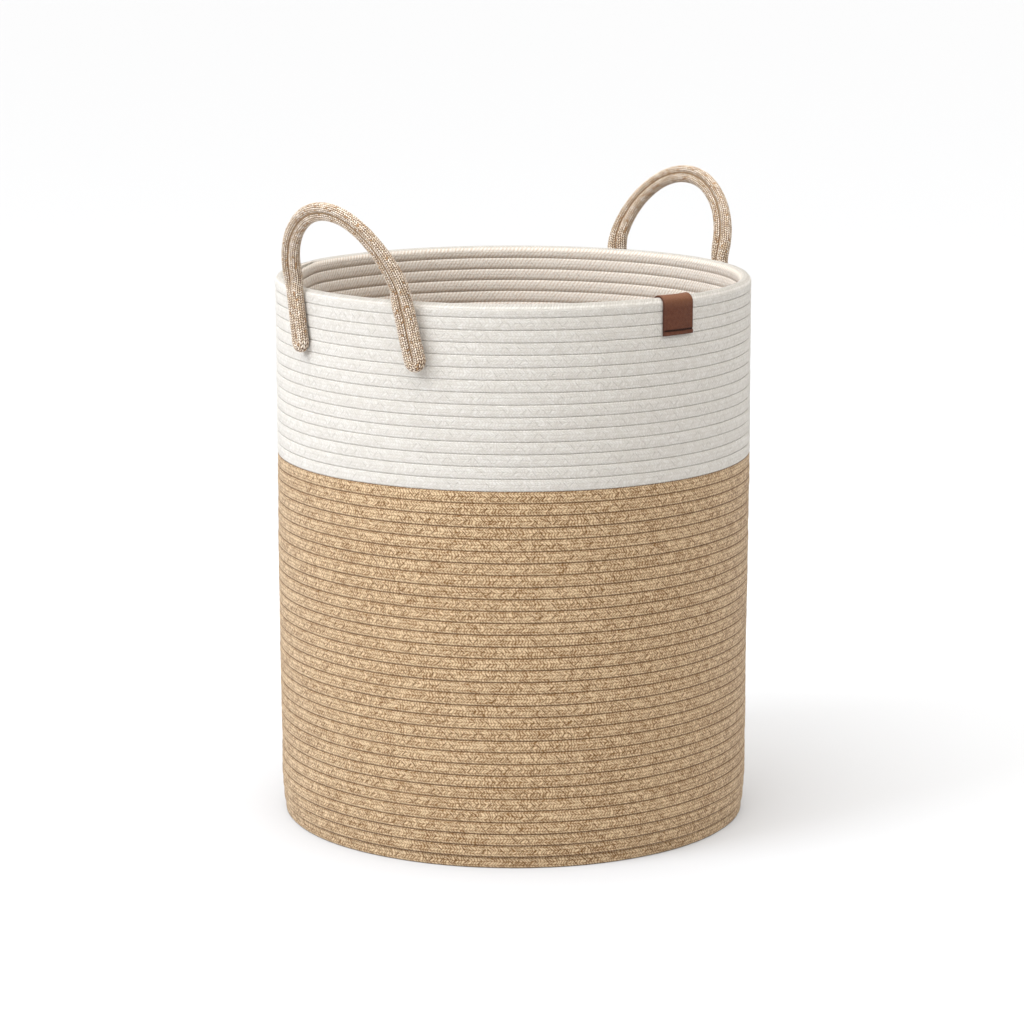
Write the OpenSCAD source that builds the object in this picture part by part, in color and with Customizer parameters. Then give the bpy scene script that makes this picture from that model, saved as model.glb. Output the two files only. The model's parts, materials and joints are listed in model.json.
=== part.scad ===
// Coiled rope laundry basket with two doubled-rope handles and a leather tag.
// Z is up, the basket stands on z = 0, its axis is the Z axis, the handles are at -X and +X,
// and the tag hangs over the rim on the -Y side. Millimetres.

/* [Basket] */
// Outside diameter across the rope rows
outer_d = 400; // [300:5:500]
// Height from the floor to the top of the rim row
basket_h = 460; // [300:5:600]
// Rows of tan jute rope in the wall
jute_rows = 32; // [10:1:40]
// Rows of white cotton rope above them
cotton_rows = 15; // [4:1:20]
// Height of a cotton row as a share of a jute row's
cotton_row_share = 1.02; // [0.95:0.01:1.05]
// Width of a rope row across the wall
rope_w = 10; // [8:0.5:12]
// Radius of the rounded outer and inner face of a wall row
row_face_r = 9; // [7:0.5:14]
// How far the lowest row is drawn in towards the base
foot_inset = 1.8; // [0:0.1:3]

/* [Sewing thread] */
// Diameter of the thread that sews row to row
thread_d = 0.9; // [0.6:0.1:1.2]
// Radius of the groove between two rows of the base
base_groove_r = 1.3; // [0.8:0.1:2]

/* [Handles] */
// Diameter of one strand of the handle rope
strand_d = 10; // [8:0.5:12]
// Half the distance between a handle's two legs at the rim
leg_half_span = 60; // [50:1:80]
// How far the legs splay apart downwards, in degrees
leg_splay = 2.5; // [0:0.5:6]
// How far both legs of the -X handle lean towards -Y at their tips, in degrees
left_leg_lean = 15; // [0:0.5:15]
// Length of the sewn leg from the rim to its rounded tip
leg_len = 56; // [40:1:70]
// Radius of the loop's crown, on the line between the strands
crown_r = 52; // [48:1:56]
// Half the angle that the crown arc spans, in degrees
crown_half_angle = 34; // [25:1:60]
// How far the standing loop leans outwards, in degrees
loop_lean = 20; // [0:1:35]
// Height of the bending line above the rim
bend_rise = 6; // [5.7:0.1:10]

/* [Leather tag] */
// Width of the tag along the rim
tag_w = 32; // [20:1:50]
// Thickness of the leather
tag_t = 1.8; // [1.2:0.1:2.5]
// How far the tag reaches down from the top of the rim
tag_drop = 30; // [20:1:45]
// Turn of the tag round the rim from the -Y direction, in degrees
tag_turn = -5.5; // [-15:0.5:15]
// Stitches in the tag's seam
tag_stitch_count = 9; // [5:1:13]

/* [Hidden] */
$fn = 96;
TAN = "#C2A070";
TAN_THREAD = "#A98757";
WHITE = "#E9E4DA";
WHITE_THREAD = "#D8D0C2";
HEATHER = "#C4A684";
HEATHER_THREAD = "#9A7650";
LEATHER = "#6B4433";
LEATHER_THREAD = "#3F241A";

outer_r = outer_d / 2;
jute_row_h = basket_h / (jute_rows + cotton_rows * cotton_row_share);
cotton_row_h = jute_row_h * cotton_row_share;
colour_line_z = jute_rows * jute_row_h;
last_row = jute_rows + cotton_rows - 1;
wall_mid_r = outer_r - rope_w / 2;
rim_z = basket_h - cotton_row_h / 2;
thread_r = thread_d / 2;
face_gap = 0.1;

// A wall row is a lens between two face arcs, cut flat where it is sewn to its neighbours.
face_offset = row_face_r - rope_w / 2;
core_inset = 1;

foot_mid_r = wall_mid_r - foot_inset;
base_r = foot_mid_r - rope_w / 2 - face_gap / 2;
base_turns = floor(base_r / jute_row_h);

strand_r = strand_d / 2;
strand_offset = strand_r + face_gap / 2;
leg_mid_r = outer_r + strand_r + face_gap;
bend_z = basket_h + bend_rise;
bend_x = sqrt(pow(leg_mid_r, 2) - pow(leg_half_span, 2));
leg_angle = asin(leg_half_span / leg_mid_r);

// Room between the legs' upper ends and the loops' rounded ends, which turn above them.
bend_gap = 2.3;
leg_top_z = bend_z - strand_r - bend_gap;
leg_straight = leg_len - 2 * strand_r + leg_top_z - basket_h;

// A loop's middle line is two side arcs and a crown arc between them.
side_r = (leg_half_span - crown_r * sin(crown_half_angle)) / (1 - sin(crown_half_angle));
side_x = leg_half_span - side_r;
side_angle = 90 - crown_half_angle;
side_steps = 5;
crown_y = (side_r - crown_r) * cos(crown_half_angle);
crown_steps = 12;
end_angles = [80, 55, 28];

crease_depth = sqrt(pow(strand_r + thread_r, 2) - pow(strand_offset, 2));
leg_stitch_start = 6;
leg_stitch_len = 4.5;
leg_stitch_pitch = 10;
leg_stitch_count = 4;

tag_inner_r = rope_w / 2 + face_gap;
tag_outer_r = tag_inner_r + tag_t;
tag_low_z = basket_h - tag_drop;
tag_seam_rise = 4;
tag_seam_margin = 2;
tag_stitch_z = tag_low_z + tag_seam_rise;
tag_stitch_len = 2.5;
tag_stitch_pitch = (tag_w - 2 * tag_seam_margin) / tag_stitch_count;
tag_thread_r = 0.35;

// Sides of the circles that don't take the default.
row_face_sides = 48;
groove_sides = 24;
thread_sides = 6;
strand_sides = 16;
loop_thread_sides = 8;

// ---- Rows of the wall ----

// Height of wall row k, and the height of its lower edge and of its middle above the floor.
function row_h(k) = k < jute_rows ? jute_row_h : cotton_row_h;
function row_low_z(k) = k * row_h(k) + (k < jute_rows ? 0 : colour_line_z - jute_rows * cotton_row_h);
function row_mid_z(k) = row_low_z(k) + row_h(k) / 2;

// Half the width of wall row k where it is sewn to its neighbours, and the slope of its face there.
function seam_half_w(k) = sqrt(pow(row_face_r, 2) - pow(row_h(k) / 2, 2)) - face_offset;
function face_slope(k) = asin(row_h(k) / 2 / row_face_r);

// Radius of the middle of wall row k: the lowest two rows are drawn in to meet the base.
function row_mid_r(k) = wall_mid_r - (k == 0 ? foot_inset : k == 1 ? foot_inset / 3 : 0);

// One row's section: two face arcs, flat above and below.
module row_section(k) {
    translate([row_mid_r(k), row_mid_z(k)])
        intersection() {
            translate([-face_offset, 0]) circle(row_face_r, $fn = row_face_sides);
            translate([face_offset, 0]) circle(row_face_r, $fn = row_face_sides);
            square([2 * rope_w, row_h(k)], center = true);
        }
}

// The free edge of the rim row or of the foot row: a full round rope.
module round_row_section(k) {
    translate([row_mid_r(k), row_mid_z(k)]) circle(row_h(k) / 2, $fn = groove_sides);
}

// The lower half of the rim row, or the upper half of the foot row.
module half_row_section(k, upper) {
    intersection() {
        row_section(k);
        translate([row_mid_r(k) - rope_w, upper ? row_mid_z(k) : row_low_z(k)])
            square([2 * rope_w, row_h(k) / 2]);
    }
}

// A plain strip inside a run of rows, which makes them one solid where they are sewn together.
module sewn_core(first, last) {
    half_w = seam_half_w(last) - core_inset;
    translate([wall_mid_r - half_w, row_mid_z(first)])
        square([2 * half_w, row_mid_z(last) - row_mid_z(first)]);
}

module jute_section() {
    round_row_section(0);
    half_row_section(0, true);
    for (k = [1 : jute_rows - 1]) row_section(k);
    sewn_core(0, jute_rows - 1);
}

module cotton_section() {
    for (k = [jute_rows : last_row - 1]) row_section(k);
    half_row_section(last_row, false);
    round_row_section(last_row);
    sewn_core(jute_rows, last_row);
}

module jute_wall() {
    color(TAN) rotate_extrude() jute_section();
}

module cotton_wall() {
    color(WHITE) rotate_extrude() cotton_section();
}

// How far from the middle of row k the thread in the groove above it lies.
function thread_out(k) = seam_half_w(k) + thread_r / cos(face_slope(k));

// Thread in the outer and inner groove above each row of a run.
module wall_thread(first, last) {
    for (k = [first : last])
        for (side = [-1, 1])
            translate([0, 0, row_low_z(k + 1)])
                rotate_extrude()
                    translate([(row_mid_r(k) + row_mid_r(k + 1)) / 2 + side * thread_out(k), 0])
                        circle(thread_r, $fn = thread_sides);
}

module jute_seam_thread() {
    color(TAN_THREAD) wall_thread(0, jute_rows - 2);
}

module cotton_seam_thread() {
    color(WHITE_THREAD) wall_thread(jute_rows - 1, last_row - 1);
}

// ---- Base ----

// Radius of the seam between two turns of the base, counted from the rim of the base inwards.
function base_seam_r(k) = base_r - k * jute_row_h;

// A flat spiral of the same rope: a disc with a groove above and below each seam.
module base_coil() {
    color(TAN)
        rotate_extrude()
            difference() {
                square([base_r, jute_row_h]);
                for (k = [1 : base_turns])
                    for (z = [0, jute_row_h])
                        translate([base_seam_r(k), z]) circle(base_groove_r, $fn = groove_sides);
            }
}

module base_seam_thread() {
    depth = base_groove_r - thread_r;
    color(TAN_THREAD)
        for (k = [1 : base_turns])
            for (z = [depth, jute_row_h - depth])
                rotate_extrude() translate([base_seam_r(k), z]) circle(thread_r, $fn = thread_sides);
}

// ---- Leather tag ----

// The strap's section: down the outside, over the rim row and down the inside.
module tag_section() {
    translate([wall_mid_r, rim_z])
        intersection() {
            difference() {
                circle(tag_outer_r);
                circle(tag_inner_r);
            }
            translate([-tag_outer_r, 0]) square([2 * tag_outer_r, tag_outer_r]);
        }
    for (r = [wall_mid_r + tag_inner_r, wall_mid_r - tag_outer_r])
        translate([r, tag_low_z]) square([tag_t, rim_z - tag_low_z]);
}

module leather_tag() {
    color(LEATHER)
        rotate([0, 0, tag_turn])
            intersection() {
                rotate_extrude() tag_section();
                translate([-tag_w / 2, -outer_r - tag_w, tag_low_z - 1])
                    cube([tag_w, 2 * tag_w, tag_drop + tag_t + 2]);
            }
}

// A seam across the foot of the tag: one row of stitches outside and one inside.
module tag_stitches() {
    color(LEATHER_THREAD)
        rotate([0, 0, tag_turn])
            for (r = [wall_mid_r + tag_outer_r, wall_mid_r - tag_outer_r])
                for (i = [0 : tag_stitch_count - 1])
                    rotate([0, 0, (i - (tag_stitch_count - 1) / 2) * tag_stitch_pitch / r * 180 / PI])
                        translate([-tag_stitch_len / 2, -r, tag_stitch_z])
                            rotate([0, 90, 0]) cylinder(r = tag_thread_r, h = tag_stitch_len);
}

// ---- Handles ----

// Turn of a leg on the wall, positive where its tip goes anticlockwise round the basket.
function leg_turn(side, end) = side * end * leg_splay + (side < 0 ? left_leg_lean : 0);

// Puts a leg drawn round the origin, in the XZ plane, on the outside of the wall at the bending line.
// side is -1 for the handle at -X, end is -1 for its leg towards -Y.
module on_wall(side, end) {
    rotate([0, 0, side * end * leg_angle + (side < 0 ? 180 : 0)])
        translate([leg_mid_r, 0, leg_top_z])
            rotate([leg_turn(side, end), 0, 0])
                rotate([0, 0, 90]) children();
}

// Two strands side by side, which are one rope turned back on itself at the tip.
module sewn_leg() {
    for (x = [-strand_offset, strand_offset])
        translate([x, 0, -leg_straight]) cylinder(r = strand_r, h = leg_straight);
    translate([0, 0, -leg_straight])
        rotate([-90, 0, 0])
            rotate_extrude(angle = 180) translate([strand_offset, 0]) circle(strand_r);
}

// Stitches in the crease between the leg's strands, on the face away from the wall.
module sewn_leg_stitches() {
    for (i = [0 : leg_stitch_count - 1])
        translate([0, -crease_depth, -leg_stitch_start - i * leg_stitch_pitch - leg_stitch_len])
            cylinder(r = thread_r, h = leg_stitch_len);
}

module leg(side, end) {
    color(HEATHER) on_wall(side, end) sewn_leg();
}

module leg_stitches(side, end) {
    color(HEATHER_THREAD) on_wall(side, end) sewn_leg_stitches();
}

module left_front_leg() { leg(-1, -1); }
module left_back_leg() { leg(-1, 1); }
module right_front_leg() { leg(1, -1); }
module right_back_leg() { leg(1, 1); }
module left_front_leg_stitches() { leg_stitches(-1, -1); }
module left_back_leg_stitches() { leg_stitches(-1, 1); }
module right_front_leg_stitches() { leg_stitches(1, -1); }
module right_back_leg_stitches() { leg_stitches(1, 1); }

// Puts a loop drawn in the XY plane, X along the rim and Y up, on the bending line, leaning outwards.
module on_bend(side) {
    translate([side * bend_x, 0, bend_z])
        rotate([0, side * loop_lean, 0])
            rotate([90, 0, 90]) children();
}

// Stations along the arch's middle line from the +X foot over the crown to the -X foot:
// [centre x, centre y, radius, angle] of the arc that each lies on.
function arch_stations() = concat(
    [for (i = [0 : side_steps - 1]) [side_x, 0, side_r, side_angle * i / side_steps]],
    [for (i = [0 : crown_steps])
        [0, crown_y, crown_r, side_angle + 2 * crown_half_angle * i / crown_steps]],
    [for (i = [1 : side_steps]) [-side_x, 0, side_r, 180 - side_angle * (1 - i / side_steps)]]
);

// A ring of the rope: radius r, moved by along in the rope's direction and by lift off the loop's plane.
function arch_ring(station, shift, lift, r, along, sides) =
    let (out = [cos(station[3]), sin(station[3]), 0], ahead = [-out[1], out[0], 0])
    [for (i = [0 : sides - 1])
        [station[0], station[1], lift] + (station[2] + shift + r * cos(360 * i / sides)) * out
            + along * ahead + [0, 0, r * sin(360 * i / sides)]];

// A round rope of radius r along the arch, shift mm outside its middle line, with rounded ends.
module arch(r, shift, lift, sides) {
    stations = arch_stations();
    last = len(stations) - 1;
    rings = concat(
        [for (a = end_angles) arch_ring(stations[0], shift, lift, r * cos(a), -r * sin(a), sides)],
        [for (s = stations) arch_ring(s, shift, lift, r, 0, sides)],
        [for (i = [1 : len(end_angles)])
            let (a = end_angles[len(end_angles) - i])
            arch_ring(stations[last], shift, lift, r * cos(a), r * sin(a), sides)]
    );
    points = [for (ring = rings) each ring];
    faces = concat(
        [[for (i = [0 : sides - 1]) i]],
        [for (k = [0 : len(rings) - 2], i = [0 : sides - 1])
            let (j = (i + 1) % sides)
            [k * sides + i, (k + 1) * sides + i, (k + 1) * sides + j, k * sides + j]],
        [[for (i = [0 : sides - 1]) len(rings) * sides - 1 - i]]
    );
    polyhedron(points, faces);
}

// One strand of a loop. Its rounded ends turn on the sewn legs.
module loop_strand(side, shift) {
    color(HEATHER) on_bend(side) arch(strand_r, shift, 0, strand_sides);
}

// Thread in the crease on both faces of a loop.
module loop_seam_thread(side) {
    color(HEATHER_THREAD)
        on_bend(side)
            for (lift = [-crease_depth, crease_depth]) arch(thread_r, 0, lift, loop_thread_sides);
}

module left_loop_outer_strand() { loop_strand(-1, strand_offset); }
module left_loop_inner_strand() { loop_strand(-1, -strand_offset); }
module left_loop_seam_thread() { loop_seam_thread(-1); }
module right_loop_outer_strand() { loop_strand(1, strand_offset); }
module right_loop_inner_strand() { loop_strand(1, -strand_offset); }
module right_loop_seam_thread() { loop_seam_thread(1); }

base_coil();
base_seam_thread();
jute_wall();
jute_seam_thread();
cotton_wall();
cotton_seam_thread();
leather_tag();
tag_stitches();
left_front_leg();
left_back_leg();
right_front_leg();
right_back_leg();
left_front_leg_stitches();
left_back_leg_stitches();
right_front_leg_stitches();
right_back_leg_stitches();
left_loop_outer_strand();
left_loop_inner_strand();
left_loop_seam_thread();
right_loop_outer_strand();
right_loop_inner_strand();
right_loop_seam_thread();
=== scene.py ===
import json
import math

import bmesh
import bpy
import numpy as np
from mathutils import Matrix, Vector


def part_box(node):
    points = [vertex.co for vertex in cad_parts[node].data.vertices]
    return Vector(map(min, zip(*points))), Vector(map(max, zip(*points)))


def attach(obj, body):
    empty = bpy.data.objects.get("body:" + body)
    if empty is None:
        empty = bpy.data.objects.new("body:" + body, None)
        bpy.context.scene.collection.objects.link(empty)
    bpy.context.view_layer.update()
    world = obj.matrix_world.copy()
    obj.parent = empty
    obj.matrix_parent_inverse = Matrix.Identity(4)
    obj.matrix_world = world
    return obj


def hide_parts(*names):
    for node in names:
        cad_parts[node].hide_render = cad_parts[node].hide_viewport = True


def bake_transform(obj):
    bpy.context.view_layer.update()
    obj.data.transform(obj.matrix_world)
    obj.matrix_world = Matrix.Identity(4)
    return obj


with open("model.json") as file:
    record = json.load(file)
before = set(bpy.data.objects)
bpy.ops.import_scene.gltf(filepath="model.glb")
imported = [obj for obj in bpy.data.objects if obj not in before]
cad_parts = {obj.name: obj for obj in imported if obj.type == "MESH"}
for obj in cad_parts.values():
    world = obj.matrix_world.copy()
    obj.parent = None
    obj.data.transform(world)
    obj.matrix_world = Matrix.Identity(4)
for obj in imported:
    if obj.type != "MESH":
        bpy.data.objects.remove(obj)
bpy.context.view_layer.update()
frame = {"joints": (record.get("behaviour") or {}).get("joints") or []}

MM = 0.001

# ---- Sizes taken from the frame ----

JUTE_ROWS = 32
COTTON_ROWS = 15
BASE_RINGS = 19
ROWS = JUTE_ROWS + COTTON_ROWS
wall_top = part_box("cotton_wall")[1]
OUTER_R = wall_top.x
WALL_H = wall_top.z
COLOUR_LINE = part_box("jute_wall")[1].z
JUTE_ROW = COLOUR_LINE / JUTE_ROWS
COTTON_ROW = (WALL_H - COLOUR_LINE) / COTTON_ROWS
HALF_W = 5 * MM
WALL_R = OUTER_R - HALF_W
FOOT_INSETS = (2.8 * MM, 1.4 * MM, 0.5 * MM)   # of the three lowest wall rows, which round the foot
BASE_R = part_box("base_coil")[1].x - 1 * MM   # drawn in with the lowest row

# ---- Rope and thread ----

COLUMNS = 14           # columns of yarn round a wall rope's section
STATION = 2.8 * MM     # spacing of the sections along a wall rope
OUTER_POWER = 6        # the rows' outer faces are nearly flat, with narrow grooves between them
INNER_POWER = 4.8
BASE_POWER = 2.5
OUTER_SIDES = 7        # sides in a quarter of a section
INNER_SIDES = 4
PRESSED = 1.12         # the rows press together: each is this much taller than its step
STITCH_STEP = 5 * MM   # along the rope, from one needle hole to the next
STITCH_REACH = 3 * MM  # from the groove to a needle hole
THREAD_R = 0.4 * MM
THREAD_OUTSIDE = 4.1 * MM    # from the rope's middle to a seam in a wall groove, outside
THREAD_INSIDE = 3.2 * MM     # and inside
THREAD_IN_BASE = 0.75 * MM   # how deep a seam lies under the base's faces
RIM_POWER = 2.2        # the top of the rim row is round
CENTRE_R = 1.5 * MM    # of the innermost turn, which closes the middle of the base
FEWEST_STATIONS = 36   # in a turn, however small

# The rope steps up, or outwards in the base, along this arc, which lies at the back left.
STEP_END = math.radians(104)
STEP_ARC = 30 / 360

# Texture lengths, in millimetres.
RUN_APART = 1250.0     # between the starts of two turns, so that no two runs have the same braid
THREAD_LENGTH = 7.8    # of thread from one needle hole to the next, across the groove

rng = np.random.default_rng(7)


def smooth(t):
    t = np.clip(t, 0, 1)
    return t * t * (3 - 2 * t)


# ---- Materials ----

MIX_INPUTS = (0, 6, 7)   # of a Mix node that mixes colours: the factor and the two colours
MIX_OUTPUT = 2


def linear(hex_colour):
    """A colour written as in a paint chart, in the linear values that a shader takes."""
    parts = [int(hex_colour[i:i + 2], 16) / 255 for i in (0, 2, 4)]
    red_green_blue = (c / 12.92 if c <= 0.04045 else ((c + 0.055) / 1.055) ** 2.4 for c in parts)
    return (*red_green_blue, 1.0)


class Surface:
    """A material with one Principled shader, and short names for the nodes that feed it."""

    def __init__(self, name, roughness, sheen=0.0, specular=0.3):
        self.material = bpy.data.materials.new(name)
        self.material.use_nodes = True
        self.tree = self.material.node_tree
        self.shader = self.tree.nodes["Principled BSDF"]
        self.shader.inputs["Roughness"].default_value = roughness
        self.shader.inputs["Sheen Weight"].default_value = sheen
        self.shader.inputs["Sheen Roughness"].default_value = 0.5
        self.shader.inputs["Specular IOR Level"].default_value = specular

    def node(self, kind, output, settings=None, **inputs):
        """One output of a new node. An input is given by name, or by number as i0, i1 and so on."""
        made = self.tree.nodes.new(kind)
        for key, value in (settings or {}).items():
            setattr(made, key, value)
        for key, value in inputs.items():
            socket = int(key[1:]) if key[1:].isdigit() else key.replace("_", " ")
            self.feed(made.inputs[socket], value)
        return made.outputs[output]

    def feed(self, socket, value):
        if isinstance(value, bpy.types.NodeSocket):
            self.tree.links.new(value, socket)
        else:
            socket.default_value = value

    def math(self, operation, *values):
        inputs = {f"i{i}": v for i, v in enumerate(values)}
        return self.node("ShaderNodeMath", 0, {"operation": operation}, **inputs)

    def span(self, value, low, high, to_low=0.0, to_high=1.0):
        """value, taken smoothly from the range low..high to the range to_low..to_high."""
        return self.node("ShaderNodeMapRange", 0, {"interpolation_type": "SMOOTHSTEP"},
                         Value=value, From_Min=low, From_Max=high, To_Min=to_low, To_Max=to_high)

    def alternate(self, whole):
        """-1 where a whole number is even and 1 where it is odd."""
        zero_or_one = self.math("PINGPONG", whole, 1.0)
        return self.math("SUBTRACT", self.math("MULTIPLY", zero_or_one, 2.0), 1.0)

    def vector(self, x, y, z=0.0):
        return self.node("ShaderNodeCombineXYZ", 0, X=x, Y=y, Z=z)

    def noise(self, vector, scale, detail=2.0):
        return self.node("ShaderNodeTexNoise", "Fac", Vector=vector, Scale=scale, Detail=detail)

    def chance(self, x, y, z=0.0):
        """A number from 0 to 1 that is the same wherever x, y and z are."""
        return self.node("ShaderNodeTexWhiteNoise", "Value", {"noise_dimensions": "3D"},
                         Vector=self.vector(x, y, z))

    def mix(self, amount, a, b):
        made = self.tree.nodes.new("ShaderNodeMix")
        made.data_type = "RGBA"
        for socket, value in zip(MIX_INPUTS, (amount, a, b)):
            self.feed(made.inputs[socket], value)
        return made.outputs[MIX_OUTPUT]

    def along_and_round(self):
        """The rope's own coordinates: millimetres along it, and columns of yarn round it."""
        uv = self.node("ShaderNodeUVMap", 0, {"uv_map": "rope"})
        split = self.tree.nodes.new("ShaderNodeSeparateXYZ")
        self.feed(split.inputs[0], uv)
        return split.outputs[0], split.outputs[1]

    def finish(self, colour, height, depth):
        self.feed(self.shader.inputs["Base Color"], colour)
        bump = self.node("ShaderNodeBump", 0, Height=height, Distance=depth, Strength=1.0)
        self.feed(self.shader.inputs["Normal"], bump)
        return self.material


def braid(s, u, v, pitch, slant, edge_power):
    """Yarn of a round braid: columns of slanting bumps, each column leaning the other way.
    Gives the height of the yarn from 0 to 1, and the column's and the bump's numbers."""
    column = s.math("FLOOR", v)
    across = s.math("SUBTRACT", s.math("FRACT", v), 0.5)
    shift = s.math("MULTIPLY", s.math("MULTIPLY", s.alternate(column), across), slant)
    phase = s.math("DIVIDE", s.math("ADD", u, shift), pitch)
    bump = s.math("FLOOR", phase)
    ridge = s.math("SINE", s.math("MULTIPLY", s.math("FRACT", phase), math.pi))
    aside = s.math("POWER", s.math("MULTIPLY", s.math("ABSOLUTE", across), 2.0), edge_power)
    height = s.math("POWER", s.math("MULTIPLY", ridge, s.math("SUBTRACT", 1.0, aside)), 0.8)
    return height, column, bump


def inner_hatching(s, u, v, waving, yarn, from_middle):
    """The slanting stitches that a rope shows on the basket's inside, from 0 to 1."""
    leaning = s.math("ADD", s.math("ADD", s.math("DIVIDE", u, 1.8), s.math("MULTIPLY", v, 1.1)),
                     s.math("MULTIPLY", waving, 1.5))
    hatch = s.span(s.math("PINGPONG", leaning, 1.0), 0.2, 0.9)
    return s.math("MULTIPLY", hatch, s.span(s.math("ADD", yarn, from_middle), 0.1, 1.0, 0.3, 1.0))


def stitch_shadows(s, u, rise):
    """Painted shadows of the seam's stitches on a row, as short dark marks, from 0 to 1. There is
    at most one in each stitch's length, and they lean either way in turn."""
    cell = s.math("FLOOR", s.math("DIVIDE", u, STITCH_STEP / MM))
    within = s.math("SUBTRACT", s.math("FRACT", s.math("DIVIDE", u, STITCH_STEP / MM)), 0.5)
    lean = s.alternate(cell)
    offset = s.math("SUBTRACT", s.chance(cell, 3.0), 0.5)
    up = s.math("MULTIPLY", rise, 17.0)
    slanted = s.math("SUBTRACT", s.math("MULTIPLY", within, 5.0), s.math("MULTIPLY", up, lean))
    near = s.span(s.math("ABSOLUTE", s.math("ADD", slanted, offset)), 0.3, 0.65, 1.0, 0.0)
    short = s.span(s.math("ABSOLUTE", s.math("ADD", up, offset)), 1.0, 2.3, 1.0, 0.0)
    shown = s.span(s.chance(cell, 8.0), 0.3, 0.8)
    return s.math("MULTIPLY", s.math("MULTIPLY", near, short), shown)


def rope_material(name, light, dark, groove, inner_bounce, contrast, marks, groove_from):
    """Braided wall rope. The groove colour is the shade and dust between two rows, in full from
    groove_from outwards, 0 being a row's middle and 1 its edge; the inner face, where the rope
    shows slanting stitches, is tinted with a painted warm bounce light; marks is the strength of
    the painted shadows of the seam's stitches on a row."""
    s = Surface(name, roughness=0.92, sheen=0.15, specular=0.2)
    u, v = s.along_and_round()
    uneven = s.noise(s.vector(s.math("MULTIPLY", u, 0.16), s.math("MULTIPLY", v, 0.6)), 1.0)
    waving = s.noise(s.vector(s.math("MULTIPLY", u, 0.12), v, 7.0), 1.0)
    height, column, bump = braid(s, s.math("ADD", u, s.math("MULTIPLY", uneven, 6.0)),
                                 s.math("ADD", v, s.math("MULTIPLY", waving, 0.7)),
                                 pitch=2.5, slant=2.6, edge_power=5.0)
    yarn = s.chance(column, bump)
    slow = s.noise(s.vector(s.math("MULTIPLY", u, 0.012), s.math("MULTIPLY", v, 0.1)), 2.0)
    fibre = s.noise(s.vector(u, s.math("MULTIPLY", v, 2.0)), 1.6, 3.0)
    tone = s.math("ADD", s.math("MULTIPLY", height, contrast), s.math("MULTIPLY", yarn, 0.36))
    tone = s.math("ADD", tone, s.math("MULTIPLY", slow, 0.14))
    tone = s.math("ADD", tone, s.math("MULTIPLY", fibre, 0.24))
    colour = s.mix(s.span(tone, 0.32, 1.2), linear(dark), linear(light))

    half = s.math("FRACT", s.math("DIVIDE", v, COLUMNS / 2))
    rise = s.math("SUBTRACT", half, 0.5)    # from a row's middle, -0.5 and 0.5 being its edges
    from_middle = s.math("MULTIPLY", s.math("ABSOLUTE", rise), 2.0)
    inside = s.math("MULTIPLY", s.math("GREATER_THAN", v, COLUMNS / 2),
                    s.span(from_middle, 0.45, 0.65, 1.0, 0.0))
    dotted = s.span(s.math("ADD", height, s.math("MULTIPLY", yarn, 0.4)), 0.2, 1.3, 1.0, 0.6)
    dotted = s.math("MULTIPLY", dotted, s.math("SUBTRACT", 1.0, s.math("MULTIPLY", inside, 0.6)))
    in_groove = s.span(from_middle, groove_from - 0.08, groove_from)
    colour = s.mix(s.math("MULTIPLY", in_groove, dotted), colour, linear(groove))

    # Painted warm bounce light on the inner face, fading out towards the row's edges.
    colour = s.mix(s.math("MULTIPLY", inside, 0.45), colour, linear(inner_bounce))
    hatch = inner_hatching(s, u, v, waving, yarn, from_middle)
    inner_shade = s.math("MULTIPLY", s.math("MULTIPLY", inside, hatch), 0.5)
    colour = s.mix(inner_shade, colour, linear("B59473"))
    # Painted shadows of the seam's stitches, in the groove's shade colour.
    colour = s.mix(s.math("MULTIPLY", stitch_shadows(s, u, rise), marks), colour, linear(groove))

    relief = s.math("ADD", height, s.math("MULTIPLY", fibre, 0.5))
    return s.finish(colour, relief, 0.35 * MM)


def thread_material(name, light, dark):
    """Two-ply sewing thread."""
    s = Surface(name, roughness=0.85, specular=0.25)
    u, v = s.along_and_round()
    twist = s.math("ADD", s.math("MULTIPLY", u, 1.3), v)
    ply = s.math("SINE", s.math("MULTIPLY", twist, 2 * math.pi))
    tone = s.math("ADD", s.math("MULTIPLY", ply, 0.3), s.noise(s.vector(u, v), 0.4))
    return s.finish(s.mix(s.span(tone, 0.1, 0.9), linear(dark), linear(light)), ply, 0.15 * MM)


def handle_material(name):
    """Heather braid: cream and beige yarn with brown ends among it."""
    s = Surface(name, roughness=0.88, sheen=0.15, specular=0.25)
    u, v = s.along_and_round()
    height, column, bump = braid(s, u, v, pitch=HANDLE_PITCH, slant=HANDLE_SLANT, edge_power=2.0)
    yarn = s.chance(column, bump)
    colour = s.mix(s.span(yarn, 0.05, 0.95), linear("D6C2A8"), linear("F8ECDC"))
    colour = s.mix(s.math("GREATER_THAN", yarn, 0.95), colour, linear("B8946E"))
    slow = s.noise(s.vector(s.math("MULTIPLY", u, 0.1), s.math("MULTIPLY", v, 0.4)), 1.5)
    colour = s.mix(s.span(slow, 0.4, 0.7, 0.0, 0.22), colour, linear("C9A582"))
    # Painted shade in the hollows between the braid's beads.
    shade_between_beads = s.math("ADD", height, s.math("MULTIPLY", s.chance(bump, column, 5.0), 0.3))
    colour = s.mix(s.span(shade_between_beads, 0.35, 1.0, 1.0, 0.0), colour, linear("60452F"))
    fibre = s.noise(s.vector(u, s.math("MULTIPLY", v, 2.0)), 2.2, 3.0)
    return s.finish(colour, s.math("ADD", height, fibre), 0.2 * MM)


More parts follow.
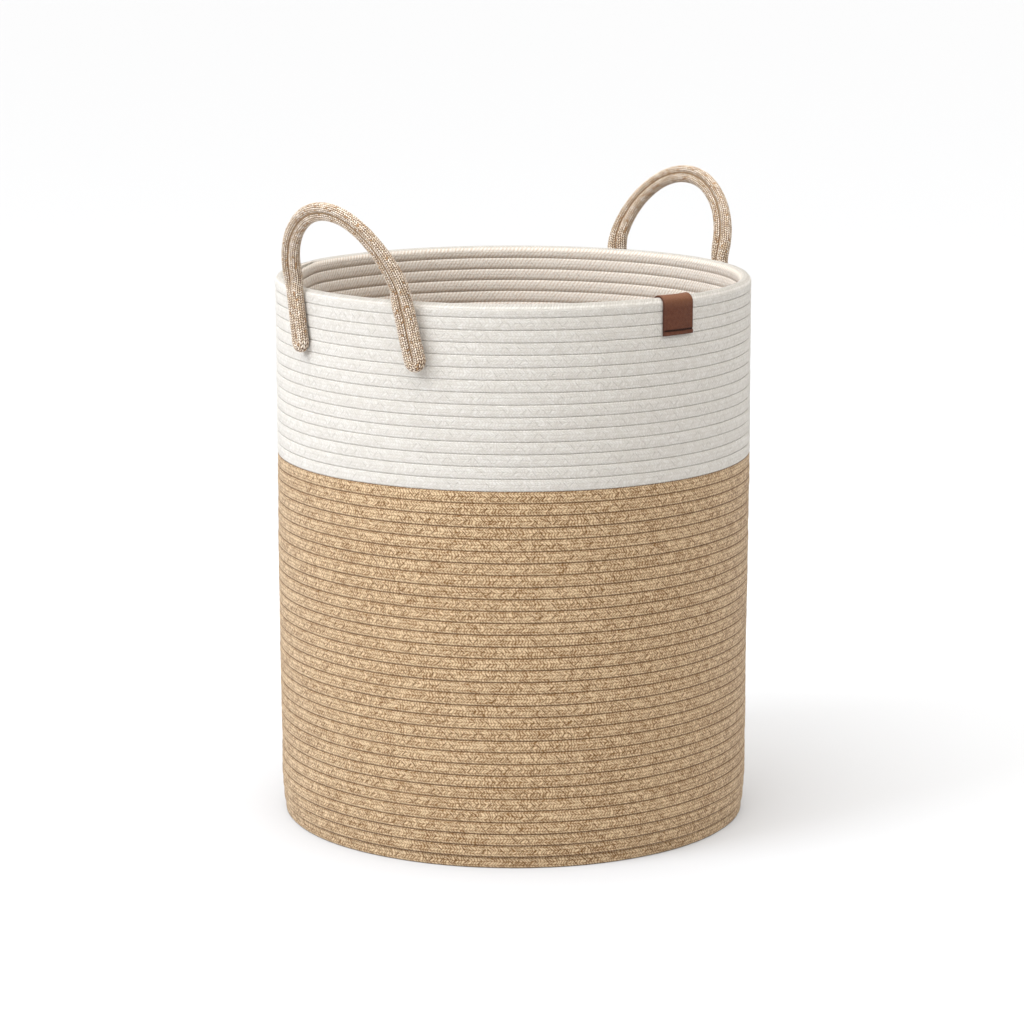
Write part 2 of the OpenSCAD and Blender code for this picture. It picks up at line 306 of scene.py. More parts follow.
def leather_material(name, top, side):
    """Brown leather: fine grain, lighter where it bends over the rim, raw dark edges."""
    s = Surface(name, roughness=0.55, specular=0.25)
    u, v = s.along_and_round()
    place = s.vector(u, v)
    grain = s.node("ShaderNodeTexVoronoi", "Distance", {"feature": "DISTANCE_TO_EDGE"},
                   Vector=place, Scale=1.7)
    crease = s.noise(place, 0.35, 4.0)
    colour = s.mix(s.span(crease, 0.3, 0.75), linear(side), linear("6A3C26"))
    bend = s.span(s.math("ABSOLUTE", s.math("SUBTRACT", u, TAG_BEND_AT / MM)), 4.0, 15.0, 1.0, 0.0)
    colour = s.mix(s.math("MULTIPLY", bend, 0.75), colour, linear(top))
    seam = s.span(s.math("ABSOLUTE", s.math("SUBTRACT", u, TAG_SEAM_AT / MM)), 0.3, 1.3, 0.75, 0.0)
    colour = s.mix(seam, colour, linear("2E150E"))
    edge = s.span(s.math("ABSOLUTE", v), TAG_HALF_W / MM - 1.2, TAG_HALF_W / MM - 0.1, 0.0, 0.7)
    colour = s.mix(edge, colour, linear("45261A"))
    relief = s.math("ADD", s.span(grain, 0.0, 0.12), s.math("MULTIPLY", crease, 0.8))
    return s.finish(colour, relief, 0.12 * MM)


# ---- Mesh code ----

def tube(name, points, along, around, material, closed=False):
    """A tube through points[station, point round the section]. The points may go round either way:
    a mesh that comes out inside out is turned. along is the length in millimetres at each station,
    and around is the value at each point round the section and once more at its seam."""
    stations, sides = points.shape[:2]
    rows = stations if closed else stations - 1
    i, j = np.meshgrid(np.arange(rows), np.arange(sides), indexing="ij")
    ahead, beside = (i + 1) % stations, (j + 1) % sides
    quads = np.stack([i * sides + j, i * sides + beside,
                      ahead * sides + beside, ahead * sides + j], -1)
    length = np.append(along, along[-1] + (along[1] - along[0]))
    quad_corners = ((i, j), (i, j + 1), (i + 1, j + 1), (i + 1, j))
    uv = np.stack([np.stack([length[a], around[b]], -1) for a, b in quad_corners], 2)
    corners, uvs = quads.reshape(-1), uv.reshape(-1, 2)
    starts, totals = np.arange(rows * sides) * 4, np.full(rows * sides, 4)
    if not closed:
        caps = [np.arange(sides)[::-1], (stations - 1) * sides + np.arange(sides)]
        cap_uv = [np.stack([np.full(sides, along[0]), around[:sides][::-1]], -1),
                  np.stack([np.full(sides, along[-1]), around[:sides]], -1)]
        starts = np.append(starts, [len(corners), len(corners) + sides])
        totals = np.append(totals, [sides, sides])
        corners = np.concatenate([corners, *caps])
        uvs = np.concatenate([uvs, *cap_uv])
    mesh = bpy.data.meshes.new(name)
    mesh.vertices.add(stations * sides)
    mesh.vertices.foreach_set("co", points.reshape(-1).astype(np.float32))
    mesh.loops.add(len(corners))
    mesh.loops.foreach_set("vertex_index", corners.astype(np.int32))
    mesh.polygons.add(len(starts))
    mesh.polygons.foreach_set("loop_start", starts.astype(np.int32))
    mesh.polygons.foreach_set("loop_total", totals.astype(np.int32))
    mesh.update(calc_edges=True)
    mesh.shade_smooth()
    mesh.uv_layers.new(name="rope").data.foreach_set("uv", uvs.reshape(-1).astype(np.float32))
    mesh.materials.append(material)
    solid = bmesh.new()
    solid.from_mesh(mesh)
    if solid.calc_volume(signed=True) < 0:
        mesh.flip_normals()
    solid.free()
    piece = bpy.data.objects.new(name, mesh)
    bpy.context.scene.collection.objects.link(piece)
    return piece


def on_basket(piece, slot, *nodes):
    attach(piece, "basket")
    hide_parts(*nodes)


# ---- The coil: base and wall ----

def ring_radius(k):
    """Radius of the middle of turn k, before it steps."""
    wall = WALL_R - sum(np.where(k == row, inset, 0) for row, inset in enumerate(FOOT_INSETS))
    return np.where(k >= 0, wall, np.maximum(BASE_R + (k + 0.5) * JUTE_ROW, CENTRE_R))


def row_height(k):
    """Step from the lower to the upper edge of turn k, before it steps."""
    return np.where(k < JUTE_ROWS, JUTE_ROW, COTTON_ROW)


def row_top(k):
    """Height of the upper edge of turn k, before it steps."""
    in_cotton = COLOUR_LINE + (k + 1 - JUTE_ROWS) * COTTON_ROW
    in_wall = np.where(k < JUTE_ROWS, (k + 1) * JUTE_ROW, in_cotton)
    return np.where(k >= 0, in_wall, JUTE_ROW)


def stepped(turn):
    """How far the rope at this turn has stepped towards the next one, from 0 to 1."""
    k = np.floor(turn)
    arc = np.clip(STEP_ARC * WALL_R / np.maximum(ring_radius(k), JUTE_ROW / 2), 0, 1)
    return smooth((turn - k - (1 - arc)) / arc)


def between(quantity, turn):
    """A quantity given for whole turns, at any point along the rope."""
    k = np.floor(turn)
    return quantity(k) + (quantity(k + 1) - quantity(k)) * stepped(turn)


def angle(turn):
    return STEP_END - 2 * math.pi * turn


def wander(theta, z):
    """A slow unevenness of the hand-guided rows. Neighbours share it, so they stay in touch."""
    return (0.25 * np.sin(2 * theta + 11 * z) + 0.2 * np.sin(5 * theta - 23 * z)
            + 0.12 * np.sin(11 * theta + 57 * z)) * MM


def turns_between(first, last):
    """Turn numbers along the rope, closer together in turns where the rings are small."""
    parts = []
    for k in range(first, last):
        count = max(FEWEST_STATIONS, round(2 * math.pi * float(ring_radius(k)) / STATION))
        parts.append(k + np.arange(count) / count)
    return np.append(np.concatenate(parts), last)


def quarter(power, sides):
    """Angles that cut a quarter of a rounded square into equal lengths."""
    a = np.linspace(0, math.pi / 2, 2001)
    steps = np.hypot(np.diff(np.cos(a) ** (2 / power)), np.diff(np.sin(a) ** (2 / power)))
    length = np.concatenate([[0], np.cumsum(steps)])
    return np.interp(np.arange(sides + 1) / sides * length[-1], length, a)


def section_angles():
    """Angles round a rope's section, from its foot over its outer face to its top, and back down
    its inner face."""
    outer, inner = quarter(OUTER_POWER, OUTER_SIDES), quarter(INNER_POWER, INNER_SIDES)
    return np.concatenate([-outer[:0:-1], outer[:-1], math.pi - inner[:0:-1], math.pi + inner[:-1]])


def coil_run(name, first, last, material, slot, *nodes):
    """The length of rope between two turn numbers. Each wall row lies a little in or out."""
    turn = turns_between(first, last)
    at = np.minimum(turn, last - 1e-6)
    k = np.floor(at)
    radius, top, tall = (between(q, at) for q in (ring_radius, row_top, row_height))
    theta = angle(turn)
    lift = rng.normal(0, 0.1 * MM, last - first)[(k - first).astype(int)]
    spread = smooth((at - k) / 0.08) * smooth((k + 1 - at) / 0.08)
    radius = radius + np.where(turn >= 0, lift * spread + wander(theta, top - tall), 0)

    end = np.where(at > ROWS - 1, stepped(at), 0)[:, None]
    rim = smooth((at - (ROWS - 1 - STEP_ARC)) / STEP_ARC)[:, None]
    phi = section_angles()
    cos, sin = np.cos(phi)[None], np.sin(phi)[None]
    power = np.where(cos > 0, OUTER_POWER, INNER_POWER)
    power = np.where(sin > 0, power + (RIM_POWER - power) * rim, power)
    in_wall = (turn >= 0)[:, None]
    power = np.where(in_wall, power, BASE_POWER)
    half_w = np.where(in_wall, HALF_W, JUTE_ROW / 2) * (1 - 0.55 * end)
    half_h = tall[:, None] / 2 * (1 - 0.97 * end)
    across = np.sign(cos) * np.abs(cos) ** (2 / power) * half_w
    up = np.sign(sin) * np.abs(sin) ** (2 / power) * half_h * PRESSED
    # The last turn doesn't step up: it thins out to nothing under the rim.
    height = np.minimum(top, WALL_H)[:, None] - half_h + up
    r = radius[:, None] + across
    points = np.stack([r * np.cos(theta)[:, None], r * np.sin(theta)[:, None],
                       height.clip(0.0)], -1)
    lengths = np.hypot(np.diff(radius * np.cos(theta)), np.diff(radius * np.sin(theta)))
    along = np.concatenate([[0], np.cumsum(lengths)]) / MM + RUN_APART * (first + BASE_RINGS)
    around = np.concatenate([np.linspace(0, COLUMNS / 2, 2 * OUTER_SIDES + 1)[:-1],
                             np.linspace(COLUMNS / 2, COLUMNS, 2 * INNER_SIDES + 1)])
    on_basket(tube(name, points, along, around, material), slot, *nodes)


def seam(name, first, last, side, material, slot, *nodes):
    """One thread that zigzags across the groove above (in the base, outside) each of these turns.
    side is 1 for the outside of the wall or the underside of the base, and -1 for the inside."""
    turn = []
    at = first + 0.01
    while at < last - 0.01:
        turn.append(at)
        at += STITCH_STEP / (2 * math.pi * max(float(between(ring_radius, at)), 1.5 * JUTE_ROW))
    turn = np.array(turn) + rng.normal(0, 0.06, len(turn)) * STITCH_STEP / (2 * math.pi * WALL_R)
    radius, height = between(ring_radius, turn), between(row_top, turn)
    theta = angle(turn)
    fade = 1 - np.where(turn > ROWS - 2, stepped(turn), 0)
    reach = STITCH_REACH + rng.normal(0, 0.25 * MM, len(turn))
    reach = np.where(np.arange(len(turn)) % 2, 1, -1) * reach * fade
    in_wall = turn >= 0
    sunk = THREAD_OUTSIDE if side > 0 else THREAD_INSIDE
    in_groove = side * sunk + wander(theta, height - JUTE_ROW)
    radius = radius + np.where(in_wall, in_groove, JUTE_ROW / 2 + reach)
    in_base = JUTE_ROW / 2 - side * (JUTE_ROW / 2 - THREAD_IN_BASE)
    height = np.where(in_wall, height + reach, in_base)
    corner = np.array([[1, 0], [0, 1], [-1, 0], [0, -1]]) * THREAD_R
    out = corner[None, :, 0]
    ahead = corner[None, :, 1] * 1.3
    flat = ~in_wall[:, None]
    r = radius[:, None] + np.where(flat, 0, out)
    z = height[:, None] + np.where(flat, out, 0)
    points = np.stack([r * np.cos(theta)[:, None] - ahead * np.sin(theta)[:, None],
                       r * np.sin(theta)[:, None] + ahead * np.cos(theta)[:, None], z], -1)
    along = np.arange(len(turn)) * THREAD_LENGTH
    on_basket(tube(name, points, along, np.linspace(0, 1, 5), material), slot, *nodes)


# ---- Handles ----

HANDLE_R = 4.7 * MM
HANDLE_RELIEF = 0.4 * MM
HANDLE_OFFSET = 4.1 * MM   # from the crease between the strands to a strand's middle
HANDLE_COLUMNS = 16    # columns of yarn round the rope
HANDLE_PITCH = 2.0     # millimetres of rope from bead to bead
HANDLE_SLANT = 1.6     # millimetres that a bead leans across its column
HANDLE_STATION = 0.5 * MM
HANDLE_SIDES = 56
HANDLE_SMOOTHING = 12  # passes that even out the line where its parts meet
CROWN_THIN = 0.16      # the rope is drawn tighter over the crown by this share
LEG_W = 20.1 * MM
CROWN_R = 52 * MM
CROWN_HALF_ANGLE = math.radians(34)
LEG_TOP = 7.3 * MM     # below the bending line
BEND_REACH = 9 * MM    # below and above the bending line
BEND_START = 1.5 * MM  # from the leg's top down to where the curve of the bend starts
LEG_POINTS, BEND_POINTS, ARCH_POINTS, CROWN_POINTS, TIP_POINTS = 50, 24, 60, 40, 30
SLACK_REACH = 32 * MM  # below and above the rim
CREASE_END = 3 * MM    # from a tip to the first stitch in the crease
CREASE_STEP = 1.5 * MM
CREASE_STITCH = 6 * MM
CREASE_OUT = 2.9 * MM  # from the handle's middle to a stitch's end
CREASE_BOW = 0.4 * MM  # and further at a stitch's middle
# For each handle: how many degrees the loop leans outwards and how far it lies off the exact
# middle; then, for its front and its back leg, how many degrees it runs away from the handle's
# middle downwards, how far the rope sags aside at the rim, and how much shorter the leg is.
HANDLE_SHAPES = {-1: (19.3, -2 * MM, (17.5, 3.5 * MM, 0), (-12.5, 0, 3.5 * MM)),
                 1: (20.8, -1 * MM, (2.5, 0, 0), (2.5, 0, 0))}


def unit(v):
    return v / np.linalg.norm(v, axis=-1, keepdims=True)


def side_name(side):
    return "left" if side < 0 else "right"


def bend_of(side):
    """The joint that a handle bends at."""
    return next(j for j in frame["joints"] if j["child"] == f"{side_name(side)}_handle")


def running_length(line):
    """How far along a line each of its points lies."""
    return np.concatenate([[0], np.cumsum(np.linalg.norm(np.diff(line, axis=0), axis=1))])


def half_handle(side, lean, splay, slack, shorter):
    """The line between the strands from the back leg's tip to the crown, the direction at each
    point in which the outer strand lies, and how far up the arch it is, from 0 to 1."""
    name = side_name(side)
    pivot = np.array(bend_of(side)["pos_m"])
    half_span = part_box(f"{name}_loop_outer_strand")[1].y - LEG_W / 2
    leg_r = math.hypot(pivot[0], half_span)
    lean, splay = math.radians(lean), math.radians(splay)

    side_r = (half_span - CROWN_R * math.sin(CROWN_HALF_ANGLE)) / (1 - math.sin(CROWN_HALF_ANGLE))
    crown_y = (side_r - CROWN_R) * math.cos(CROWN_HALF_ANGLE)
    to_crown = math.pi / 2 - CROWN_HALF_ANGLE
    low = np.linspace(BEND_REACH / side_r, to_crown, ARCH_POINTS)
    high = np.linspace(to_crown, math.pi / 2, CROWN_POINTS)[1:]
    flat = np.concatenate([
        np.stack([half_span - side_r + side_r * np.cos(low), side_r * np.sin(low)], -1),
        np.stack([CROWN_R * np.cos(high), crown_y + CROWN_R * np.sin(high)], -1)])
    flat_out = np.concatenate([np.stack([np.cos(a), np.sin(a)], -1) for a in (low, high)])
    up = np.array([side * math.sin(lean), 0, math.cos(lean)])
    back = np.array([0.0, 1.0, 0.0])
    arch = pivot + flat[:, :1] * back + flat[:, 1:] * up
    arch_out = flat_out[:, :1] * back + flat_out[:, 1:] * up

    # The leg lies on the wall, so it follows the wall's curve where it runs aside. The bend is a
    # smooth curve from the leg's top to the arch's foot.
    leg_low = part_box(f"{name}_back_leg")[0].z + LEG_W / 2 * math.cos(splay) + shorter
    top = pivot[2] - LEG_TOP
    t = np.linspace((top - leg_low) / math.cos(splay), BEND_START, LEG_POINTS)
    a = math.asin(half_span / leg_r) + t * math.sin(splay) / leg_r
    leg = np.stack([side * leg_r * np.cos(a), leg_r * np.sin(a), top - t * math.cos(splay)], -1)
    aside = np.stack([-side * np.sin(a), np.cos(a), np.zeros_like(a)], -1)
    upward = np.array([0, 0, 1.0]) * math.cos(splay) - aside * math.sin(splay)
    leg_out = aside * math.cos(splay) + np.array([0, 0, 1.0]) * math.sin(splay)
    s = np.linspace(0, 1, BEND_POINTS)[1:-1, None]
    reach = np.linalg.norm(arch[0] - leg[-1])
    d0, d1 = upward[-1] * reach, unit(arch[1] - arch[0]) * reach
    bend = ((2 * s**3 - 3 * s**2 + 1) * leg[-1] + (s**3 - 2 * s**2 + s) * d0
            + (3 * s**2 - 2 * s**3) * arch[0] + (s**3 - s**2) * d1)
    bend_out = leg_out[-1] + (arch_out[0] - leg_out[-1]) * smooth(s)
    share = flat[:, 1] / flat[-1, 1]
    middle = np.concatenate([leg, bend, arch])
    sag = slack * np.exp(-((middle[:, 2:] - WALL_H) / SLACK_REACH) ** 2)
    return (middle + sag * aside[-1], np.concatenate([leg_out, bend_out, arch_out]),
            np.concatenate([np.zeros(len(leg) + len(bend)), share]))


def handle_middle(side):
    """The whole line between the strands, from the front tip over the crown to the back tip."""
    lean, shift, *legs = HANDLE_SHAPES[side]
    halves = [half_handle(side, lean, *leg) for leg in legs]
    (front, front_out, front_share), (back, back_out, back_share) = halves
    mirror = np.array([1, -1, 1])
    middle = np.concatenate([front * mirror, back[-2::-1]]) + np.array([0, shift, 0])
    out = np.concatenate([front_out * mirror, back_out[-2::-1]])
    tight = 1 - CROWN_THIN * smooth(np.concatenate([front_share, back_share[-2::-1]]))
    return middle, unit(out), tight


def braid_height(along, columns):
    """The same braid as the handle's material shows, as a relief of the mesh."""
    column = np.floor(columns)
    across = columns - column - 0.5
    shift = (np.mod(column, 2) * 2 - 1) * across * HANDLE_SLANT
    phase = (along + shift) / HANDLE_PITCH
    ridge = np.sin((phase - np.floor(phase)) * math.pi)
    return (ridge * (1 - (2 * np.abs(across)) ** 2)) ** 0.8


def along_line(at, length, *lines):
    """Values given at each length of a line, at other lengths along it."""
    return [np.stack([np.interp(at, length, values) for values in line.T], -1) for line in lines]


def bends_with(piece, side, slot, *nodes):
    """A handle piece, with its placing fixed into its mesh; the parts that it stands for are
    hidden.
    """
    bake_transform(piece)
    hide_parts(*nodes)


def handle(name, side, material, *nodes):
    """One rope doubled back at both tips, as a closed run with its braid in relief."""
    middle, out, tight = handle_middle(side)
    forward = unit(np.gradient(middle, axis=0))
    face = unit(np.cross(forward, out))
    turn = np.linspace(0, math.pi, TIP_POINTS)[1:-1, None]
    tips = []
    for at, ahead in ((-1, 1), (0, -1)):
        curve = out[at] * np.cos(turn) * ahead + ahead * forward[at] * np.sin(turn)
        tips.append(middle[at] + curve * HANDLE_OFFSET)
    offset = HANDLE_OFFSET * tight[:, None]
    line = np.concatenate([middle + out * offset, tips[0], (middle - out * offset)[::-1], tips[1]])
    rest = np.ones(len(turn))
    facing = np.concatenate([face, np.repeat(face[-1:], len(turn), 0), face[::-1],
                             np.repeat(face[:1], len(turn), 0)])
    tight = np.concatenate([tight, rest, tight[::-1], rest])
    loop, facing, tight = (np.concatenate([x, x[:1]]) for x in (line, facing, tight[:, None]))
    length = running_length(loop)
    bumps = 2 * round(length[-1] / MM / HANDLE_PITCH / 2)
    count = round(length[-1] / HANDLE_STATION)
    at = np.arange(count) / count * length[-1]
    line, facing, tight = along_line(at, length, loop, facing, tight)
    for _ in range(HANDLE_SMOOTHING):
        line = (np.roll(line, 1, 0) + 2 * line + np.roll(line, -1, 0)) / 4
    ahead = unit(np.roll(line, -1, 0) - np.roll(line, 1, 0))
    sideways = unit(np.cross(unit(facing), ahead))
    facing = np.cross(ahead, sideways)
    along = at / length[-1] * bumps * HANDLE_PITCH
    columns = np.arange(HANDLE_SIDES + 1) / HANDLE_SIDES * HANDLE_COLUMNS
    phi = 2 * math.pi * columns[:-1] / HANDLE_COLUMNS
    relief = braid_height(along[:, None], columns[None, :-1])
    radius = (HANDLE_R + HANDLE_RELIEF * relief) * tight
    ring = (np.cos(phi)[None, :, None] * facing[:, None]
            + np.sin(phi)[None, :, None] * sideways[:, None])
    points = line[:, None] + radius[..., None] * ring
    piece = tube(name, points, along, columns, material, closed=True)
    bends_with(piece, side, "handle_rope", *nodes)
    return middle, out, face


def crease_thread(name, side, middle, out, face, material, *nodes):
    """The stitches in the crease between a handle's strands, on both faces."""
    length = running_length(middle)
    for label, way in (("outside", 1), ("inside", -1)):
        at = np.arange(CREASE_END, length[-1] - CREASE_END, CREASE_STEP)
        line, beside, normal = along_line(at, length, middle, out, face)
        outward = unit(normal) * np.sign(np.sum(normal * np.array([side, 0, 0]), -1, keepdims=True))
        stitch = np.abs(np.sin(at / CREASE_STITCH * math.pi))[:, None]
        line = line + outward * way * (CREASE_OUT + CREASE_BOW * stitch)
        phi = np.arange(6) / 6 * 2 * math.pi
        ring = (np.cos(phi)[None, :, None] * unit(beside)[:, None]
                + np.sin(phi)[None, :, None] * outward[:, None])
        points = line[:, None] + ring * THREAD_R
        piece = tube(f"{name}_{label}", points, at / MM, np.linspace(0, 1, 7), material)
        bends_with(piece, side, "handle_thread", *nodes)


# ---- Leather tag ----

tag_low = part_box("leather_tag")[0]
TAG_T = 1.8 * MM
TAG_HALF_W = 16 * MM
TAG_TURN = math.radians(-5.5)
TAG_OUT = HALF_W + 0.3 * MM + TAG_T / 2
RIM_MIDDLE = WALL_H - COTTON_ROW / 2
TAG_LEG = RIM_MIDDLE - tag_low.z
TAG_BEND_AT = TAG_LEG + math.pi / 2 * TAG_OUT
TAG_SEAM_AT = 4 * MM      # from either foot
TAG_STITCHES = 9          # in a row
TAG_STITCH_MARGIN = 2 * MM


def tag_middle(t):
    """Where the leather's middle lies at length t from its outer foot: distance from the rim row's
    middle and height above it, and the direction in which the leather's outer face looks."""
    over = math.pi * TAG_OUT
    a = np.clip((t - TAG_LEG) / over, 0, 1) * math.pi
    down = np.where(t < TAG_LEG, t - TAG_LEG, np.where(t > TAG_LEG + over, TAG_LEG + over - t, 0))
    return np.cos(a) * TAG_OUT, np.sin(a) * TAG_OUT + down, np.cos(a), np.sin(a)


def leather_tag(material):
    length = 2 * TAG_LEG + math.pi * TAG_OUT
    rounding = TAG_T * 0.45
    t = np.concatenate([[0, 0.15, 0.5, 1.0], np.linspace(1.6, length / MM - 1.6, 180),
                        length / MM - np.array([1.0, 0.5, 0.15, 0])]) * MM
    x, z, face_x, face_z = tag_middle(t)
    from_end = np.minimum(t, length - t)
    thin = np.sqrt(1 - (1 - np.clip(from_end / rounding, 0, 1)) ** 2) * 0.94 + 0.06
    seam_at = np.exp(-((from_end - TAG_SEAM_AT) / (0.7 * MM)) ** 2)
    hem = np.exp(-((from_end - TAG_SEAM_AT * 0.45) / (1.3 * MM)) ** 2)

    # Round the section: across the outer face, down one side, back across the inner face, and up.
    across, down = np.linspace(1, -1, 30), np.cos(np.linspace(0, math.pi, 8))[1:-1]
    on_face, on_side = np.ones(len(across)), np.ones(len(down))
    flat_w = np.concatenate([across, -on_side, -across, on_side])
    flat_h = np.concatenate([on_face, down, -on_face, -down])
    inset = TAG_T / 2 * (1 - np.sqrt(np.clip(1 - flat_h**2, 0, 1)))
    rounded = np.where(np.abs(flat_w) == 1, inset * 0.6, 0)
    width = np.sign(flat_w) * (np.abs(flat_w) * TAG_HALF_W - rounded)
    outer = (flat_h > 0)[None]
    dent = np.where(outer, -0.55 * seam_at[:, None] + 0.35 * hem[:, None], 0) * MM
    near_side = np.clip(np.abs(width) / TAG_HALF_W - 0.8, 0, 1)[None]
    curl = 0.5 * MM * near_side * 5 * (thin > 0.5)[:, None]
    wave = 0.22 * MM * np.sin(width / (5.5 * MM) + 1.0)[None] * np.sin(t / (9 * MM))[:, None]
    off = flat_h[None] * TAG_T / 2 * thin[:, None] + dent + wave * 0.6 + curl * 0.5
    r = WALL_R + x[:, None] + off * face_x[:, None]
    height = RIM_MIDDLE + z[:, None] + off * face_z[:, None]
    theta = -math.pi / 2 + TAG_TURN + width[None] / OUTER_R
    points = np.stack([r * np.cos(theta), r * np.sin(theta), height], -1)
    along = t / MM
    around = np.append(width, width[0]) / MM
    piece = tube("leather_tag_folded", points, along, around, material)
    on_basket(piece, "leather", "leather_tag")


def tag_stitching(material):
    """A row of stitches across each foot of the tag, each one a short bowed thread."""
    length = 2 * TAG_LEG + math.pi * TAG_OUT
    half_row = TAG_HALF_W - TAG_STITCH_MARGIN
    pitch = 2 * half_row / TAG_STITCHES
    for label, at in (("outside", TAG_SEAM_AT), ("inside", length - TAG_SEAM_AT)):
        x, z, face_x, face_z = (float(c) for c in tag_middle(np.array(at)))
        width = np.linspace(-1, 1, TAG_STITCHES * 12 + 1) * half_row
        lift = TAG_T / 2 - 0.5 * MM + 0.45 * MM * np.abs(np.sin(width / pitch * math.pi))
        theta = -math.pi / 2 + TAG_TURN + width / OUTER_R
        phi = np.arange(6) / 6 * 2 * math.pi
        r = WALL_R + x + (lift[:, None] + THREAD_R * np.cos(phi)[None]) * face_x
        height = RIM_MIDDLE + z + THREAD_R * np.sin(phi)[None]
        height = np.broadcast_to(height, r.shape)
        points = np.stack([r * np.cos(theta)[:, None], r * np.sin(theta)[:, None], height], -1)
        piece = tube(f"tag_stitches_{label}", points, width / MM, np.linspace(0, 1, 7), material)
        on_basket(piece, "tag_thread", "tag_stitches")


# ---- Camera, light and floor ----

YAW, TILT = -46.3, 11.29      # degrees round the basket, and downwards
BACK, LEFT = 2.79, 1.16 * MM  # of the camera from the basket's axis
EYE_HEIGHT = 0.8123
LENS, SENSOR = 117.16, 36     # millimetres
CEILING, WALLS = 2.7, 0.15    # brightness, where the horizon is 1
HORIZON_TO, WALLS_FROM, WALLS_TO, CEILING_FROM = 0.09, 0.14, 0.5, 0.75   # heights in the sky
FLOOR_REACH = 80


def camera():
    """The photo's own view. Gives the level directions ahead of the camera and to its right."""
    data = bpy.data.cameras.new("camera")
    data.lens = LENS
    data.sensor_width = SENSOR
    cam = bpy.data.objects.new("camera", data)
    bpy.context.scene.collection.objects.link(cam)
    yaw = math.radians(YAW)
    forward = Vector((-math.sin(yaw), math.cos(yaw), 0))
    right = Vector((math.cos(yaw), math.sin(yaw), 0))
    cam.location = -forward * BACK - right * LEFT + Vector((0, 0, EYE_HEIGHT))
    cam.rotation_euler = (math.radians(90 - TILT), 0, yaw)
    bpy.context.scene.camera = cam
    return forward, right


def lamp(name, location, size, energy, colour=(1, 1, 1)):
    """A square lamp that faces the basket's middle."""
    data = bpy.data.lights.new(name, "AREA")
    data.size = size
    data.energy = energy
    data.color = colour
    light = bpy.data.objects.new(name, data)
    light.location = location
    light.rotation_euler = (Vector((0, 0, 0.25)) - location).to_track_quat("-Z", "Y").to_euler()
    bpy.context.scene.collection.objects.link(light)


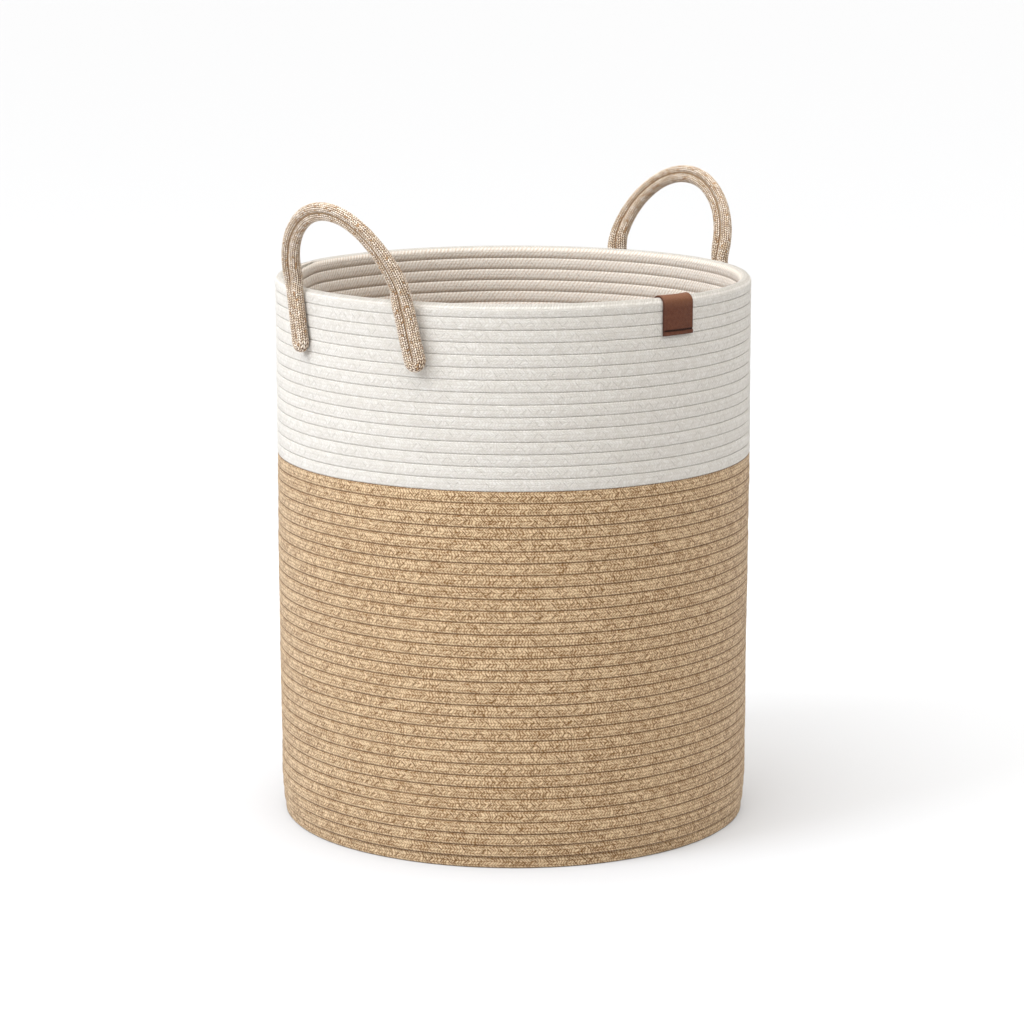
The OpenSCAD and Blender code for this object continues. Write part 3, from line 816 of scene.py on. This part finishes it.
def studio(forward, right):
    """A room with a bright ceiling, dim walls and a white horizon, a soft lamp to the left and one
    overhead."""
    world = bpy.data.worlds.new("studio")
    world.use_nodes = True
    tree = world.node_tree
    split = tree.nodes.new("ShaderNodeSeparateXYZ")
    tree.links.new(tree.nodes.new("ShaderNodeTexCoord").outputs["Generated"], split.inputs[0])
    ramp = tree.nodes.new("ShaderNodeValToRGB")
    horizon, ceiling = ramp.color_ramp.elements
    horizon.position, ceiling.position = HORIZON_TO, CEILING_FROM
    horizon.color = (1, 1, 1, 1)
    ceiling.color = (CEILING, CEILING * 0.99, CEILING * 0.965, 1)
    for position in (WALLS_FROM, WALLS_TO):
        ramp.color_ramp.elements.new(position).color = (WALLS, WALLS, WALLS, 1)
    tree.links.new(split.outputs[2], ramp.inputs[0])
    tree.links.new(ramp.outputs[0], tree.nodes["Background"].inputs[0])
    tree.nodes["Background"].inputs[1].default_value = 1.0
    bpy.context.scene.world = world
    bpy.context.scene.view_settings.view_transform = "Standard"
    up = Vector((0, 0, 1))
    lamp("key", -right * 2.2 - forward * 1.2 + up * 1.9, size=1.4, energy=52,
         colour=(0.95, 1.0, 1.07))
    lamp("top", -forward * 0.9 - right * 0.5 + up * 2.6, size=1.0, energy=9)

    mesh = bpy.data.meshes.new("floor")
    square = ((-1, -1), (1, -1), (1, 1), (-1, 1))
    corners = [(x * FLOOR_REACH, y * FLOOR_REACH, 0) for x, y in square]
    mesh.from_pydata(corners, [], [(0, 1, 2, 3)])
    floor = bpy.data.objects.new("floor", mesh)
    paper = Surface("floor_paper", roughness=0.9, specular=0.1)
    paper.shader.inputs["Base Color"].default_value = (0.545, 0.55, 0.565, 1)
    paper.shader.inputs["Emission Color"].default_value = (1, 1, 1, 1)
    paper.shader.inputs["Emission Strength"].default_value = 0.06
    mesh.materials.append(paper.material)
    bpy.context.scene.collection.objects.link(floor)


# ---- The pieces ----

ROWS_IN_PIECE = 8

forward, right = camera()

jute = rope_material("jute_braid", light="DABF9A", dark="7A552C", groove="64411C", inner_bounce="C8A67C",
                     contrast=0.7, marks=0.95, groove_from=0.46)
cotton = rope_material("cotton_braid", light="DBD7D1", dark="C9C3BA", groove="A39D95",
                       inner_bounce="F4ECE2", contrast=0.5, marks=0.45, groove_from=0.52)
jute_thread = thread_material("jute_thread", "C09C6E", "93704A")
cotton_thread = thread_material("cotton_thread", "EAE4D8", "CFC5B5")

coil_run("jute_base_rope", -BASE_RINGS - 1, 0, jute, "jute_rope", "base_coil")
for kind, rope, start, end in (("jute", jute, 0, JUTE_ROWS), ("cotton", cotton, JUTE_ROWS, ROWS)):
    for first in range(start, end, ROWS_IN_PIECE):
        last = min(first + ROWS_IN_PIECE, end)
        coil_run(f"{kind}_rope_rows_{first + 1}_to_{last}", first, last, rope, f"{kind}_rope",
                 f"{kind}_wall")
for label, side in (("outer", 1), ("inner", -1)):
    seam(f"base_stitching_{label}", -BASE_RINGS, 0, side, jute_thread, "jute_thread",
         "base_seam_thread")
    seam(f"jute_stitching_{label}", 0, JUTE_ROWS - 1, side, jute_thread, "jute_thread",
         "jute_seam_thread")
    seam(f"cotton_stitching_{label}", JUTE_ROWS - 1, ROWS - 1, side, cotton_thread, "cotton_thread",
         "cotton_seam_thread")

heather = handle_material("heather_braid")
heather_thread = thread_material("heather_thread", "C4A480", "9C7C5C")
for name, side in (("left", -1), ("right", 1)):
    legs = [f"{name}_{end}_leg" for end in ("front", "back")]
    strands = [f"{name}_loop_outer_strand", f"{name}_loop_inner_strand"]
    lines = handle(f"{name}_handle_rope", side, heather, *legs, *strands)
    crease_thread(f"{name}_handle_thread", side, *lines, heather_thread,
                  f"{name}_loop_seam_thread", *[f"{leg}_stitches" for leg in legs])

leather_tag(leather_material("tag_leather", "7E5238", "5A301C"))
tag_stitching(thread_material("tag_thread", "3A2018", "1E0F0A"))

studio(forward, right)
